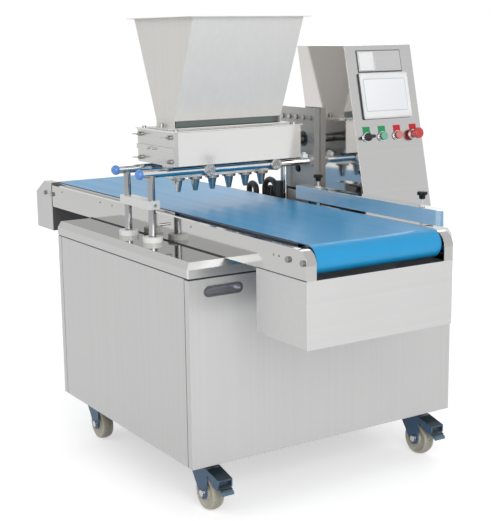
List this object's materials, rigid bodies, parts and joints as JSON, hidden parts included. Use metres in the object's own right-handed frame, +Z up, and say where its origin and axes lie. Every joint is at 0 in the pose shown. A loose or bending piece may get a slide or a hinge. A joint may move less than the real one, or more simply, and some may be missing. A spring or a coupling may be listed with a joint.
{
  "type": "cookie depositor",
  "caption": "Cookie depositing machine: hopper and roller feed head that lifts over a belt conveyor, with nozzles, leaning control housing and cabinet on casters.",
  "frame": {"origin": "on the floor, under the middle of the bounding box's length and width", "axes": "+Z up; +Y along the belt, from the discharge end at the front to the tail end; +X to the side of the control housing"},
  "size_m": [0.85, 1.544, 1.245],
  "materials": {
    "stainless": "satin stainless sheet",
    "polished_steel": "polished stainless sheet",
    "chrome": "chrome plated",
    "dark_steel": "dark brushed plate",
    "frame_steel": "grey paint",
    "fastener": "zinc plated",
    "bearing": "machined cast iron",
    "motor": "dark grey paint",
    "belt": "matt blue conveyor belting",
    "cap_blue": "gloss blue",
    "bush_white": "white engineering plastic",
    "black_plastic": "matt black",
    "conduit": "black sheathed conduit",
    "screen": "light grey moulded frame",
    "green": "gloss green",
    "red": "gloss red",
    "caster_blue": "blue paint",
    "wheel_cream": "cream nylon"
  },
  "bodies": {
    "base": {"base_frame": "frame_steel", "left_panel": "stainless", "right_panel": "stainless", "rear_panel": "stainless", "top_cover": "polished_steel", "rod_bushes": "bush_white", "caster_plates": "fastener", "left_rail": "polished_steel", "right_rail": "polished_steel", "slider_bed": "stainless", "conveyor_belt": "belt", "roller_bearings": "bearing", "rear_end_cover": "polished_steel", "front_apron": "stainless", "rail_bolts": "fastener", "housing_shell": "polished_steel", "control_panel": "stainless", "touch_screen": "screen", "lift_actuator": "motor", "guide_rails": "chrome", "conduit_bends": "conduit"},
    "front_panel": {"front_panel": "stainless", "front_handle": "polished_steel"},
    "head": {"lift_rods": "chrome", "lift_bars": "chrome", "bar_end_caps": "cap_blue", "tie_bar": "polished_steel", "bar_clamps": "polished_steel", "feed_box": "stainless", "feed_lid": "stainless", "end_plate": "stainless", "head_fasteners": "fastener", "nozzle_plate": "stainless", "nozzles": "polished_steel", "carriage_plate": "dark_steel", "feed_motor": "motor", "actuator_rod": "chrome"},
    "hopper": {"hopper": "stainless", "hopper_screws": "fastener"},
    "feed_roller_front": {"feed_roller_front": "polished_steel"},
    "feed_roller_rear": {"feed_roller_rear": "polished_steel"},
    "drive_roller": {"drive_roller": "stainless"},
    "tail_roller": {"tail_roller": "stainless"},
    "start_button": {"start_button": "green"},
    "stop_button": {"stop_button": "red"},
    "emergency_stop": {"emergency_stop": "red"},
    "mode_selector": {"mode_selector": "black_plastic"},
    "star_knob_front": {"star_knob_front": "black_plastic"},
    "star_knob_rear": {"star_knob_rear": "black_plastic"},
    "side_guide": {"side_guide": "stainless"},
    "caster_fork_front_left": {"caster_fork_front_left": "caster_blue"},
    "caster_wheel_front_left": {"caster_wheel_front_left": "wheel_cream"},
    "brake_pedal_left": {"brake_pedal_left": "caster_blue"},
    "caster_fork_front_right": {"caster_fork_front_right": "caster_blue"},
    "caster_wheel_front_right": {"caster_wheel_front_right": "wheel_cream"},
    "brake_pedal_right": {"brake_pedal_right": "caster_blue"},
    "caster_fork_rear_left": {"caster_fork_rear_left": "caster_blue"},
    "caster_wheel_rear_left": {"caster_wheel_rear_left": "wheel_cream"},
    "caster_fork_rear_right": {"caster_fork_rear_right": "caster_blue"},
    "caster_wheel_rear_right": {"caster_wheel_rear_right": "wheel_cream"}
  },
  "joints": [
    {"name": "head_lift", "type": "slide", "parent": "base", "child": "head", "axis": [0, 0, 1], "range_m": [-0.025, 0.015]},
    {"name": "feed_front_spin", "type": "hinge", "parent": "head", "child": "feed_roller_front", "pos_m": [-0.1, -0.084, 0.9], "axis": [1, 0, 0], "continuous": true},
    {"name": "feed_rear_spin", "type": "hinge", "parent": "head", "child": "feed_roller_rear", "pos_m": [-0.1, -0.02, 0.9], "axis": [1, 0, 0], "continuous": true},
    {"name": "hopper_lift_off", "type": "slide", "parent": "head", "child": "hopper", "axis": [0, 0, 1], "range_m": [0, 0.15]},
    {"name": "drive_roller_spin", "type": "hinge", "parent": "base", "child": "drive_roller", "pos_m": [-0.102, -0.73, 0.7], "axis": [1, 0, 0], "continuous": true},
    {"name": "tail_roller_spin", "type": "hinge", "parent": "base", "child": "tail_roller", "pos_m": [-0.102, 0.665, 0.7], "axis": [1, 0, 0], "continuous": true},
    {"name": "front_panel_off", "type": "slide", "parent": "base", "child": "front_panel", "axis": [0, -1, 0], "range_m": [0, 0.1]},
    {"name": "side_guide_shift", "type": "slide", "parent": "base", "child": "side_guide", "axis": [-1, 0, 0], "range_m": [0, 0.014]},
    {"name": "star_knob_front_turn", "type": "hinge", "parent": "base", "child": "star_knob_front", "pos_m": [0.105, -0.668, 0.8], "axis": [0, 0, 1], "continuous": true},
    {"name": "star_knob_rear_turn", "type": "hinge", "parent": "base", "child": "star_knob_rear", "pos_m": [0.105, -0.236, 0.8], "axis": [0, 0, 1], "continuous": true},
    {"name": "start_button_press", "type": "slide", "parent": "base", "child": "start_button", "axis": [0, 0.975, -0.2224], "range_m": [0, 0.004], "stiffness_N_per_m": 700},
    {"name": "stop_button_press", "type": "slide", "parent": "base", "child": "stop_button", "axis": [0, 0.975, -0.2224], "range_m": [0, 0.004], "stiffness_N_per_m": 700},
    {"name": "emergency_stop_press", "type": "slide", "parent": "base", "child": "emergency_stop", "axis": [0, 0.975, -0.2224], "range_m": [0, 0.004], "stiffness_N_per_m": 700},
    {"name": "selector_turn", "type": "hinge", "parent": "base", "child": "mode_selector", "pos_m": [0.221, -0.30513, 0.91587], "axis": [0, -0.975, 0.2224], "range_deg": [-45, 45]},
    {"name": "caster_swivel_front_left", "type": "hinge", "parent": "base", "child": "caster_fork_front_left", "pos_m": [-0.353, -0.36, 0.115], "axis": [0, 0, 1], "continuous": true},
    {"name": "caster_wheel_spin_front_left", "type": "hinge", "parent": "caster_fork_front_left", "child": "caster_wheel_front_left", "pos_m": [-0.353, -0.392, 0.047], "axis": [1, 0, 0], "continuous": true},
    {"name": "brake_pedal_left_press", "type": "hinge", "parent": "caster_fork_front_left", "child": "brake_pedal_left", "pos_m": [-0.353, -0.452, 0.0897], "axis": [1, 0, 0], "range_deg": [0, 20]},
    {"name": "caster_swivel_front_right", "type": "hinge", "parent": "base", "child": "caster_fork_front_right", "pos_m": [0.353, -0.36, 0.115], "axis": [0, 0, 1], "continuous": true},
    {"name": "caster_wheel_spin_front_right", "type": "hinge", "parent": "caster_fork_front_right", "child": "caster_wheel_front_right", "pos_m": [0.353, -0.392, 0.047], "axis": [1, 0, 0], "continuous": true},
    {"name": "brake_pedal_right_press", "type": "hinge", "parent": "caster_fork_front_right", "child": "brake_pedal_right", "pos_m": [0.353, -0.452, 0.0897], "axis": [1, 0, 0], "range_deg": [0, 20]},
    {"name": "caster_swivel_rear_left", "type": "hinge", "parent": "base", "child": "caster_fork_rear_left", "pos_m": [-0.353, 0.28, 0.115], "axis": [0, 0, 1], "continuous": true},
    {"name": "caster_wheel_spin_rear_left", "type": "hinge", "parent": "caster_fork_rear_left", "child": "caster_wheel_rear_left", "pos_m": [-0.353, 0.248, 0.047], "axis": [1, 0, 0], "continuous": true},
    {"name": "caster_swivel_rear_right", "type": "hinge", "parent": "base", "child": "caster_fork_rear_right", "pos_m": [0.353, 0.28, 0.115], "axis": [0, 0, 1], "continuous": true},
    {"name": "caster_wheel_spin_rear_right", "type": "hinge", "parent": "caster_fork_rear_right", "child": "caster_wheel_rear_right", "pos_m": [0.353, 0.248, 0.047], "axis": [1, 0, 0], "continuous": true}
  ],
  "couplings": [
    {"joint": "feed_rear_spin", "follows": "feed_front_spin", "ratio": -1},
    {"joint": "tail_roller_spin", "follows": "drive_roller_spin", "ratio": 1}
  ]
}
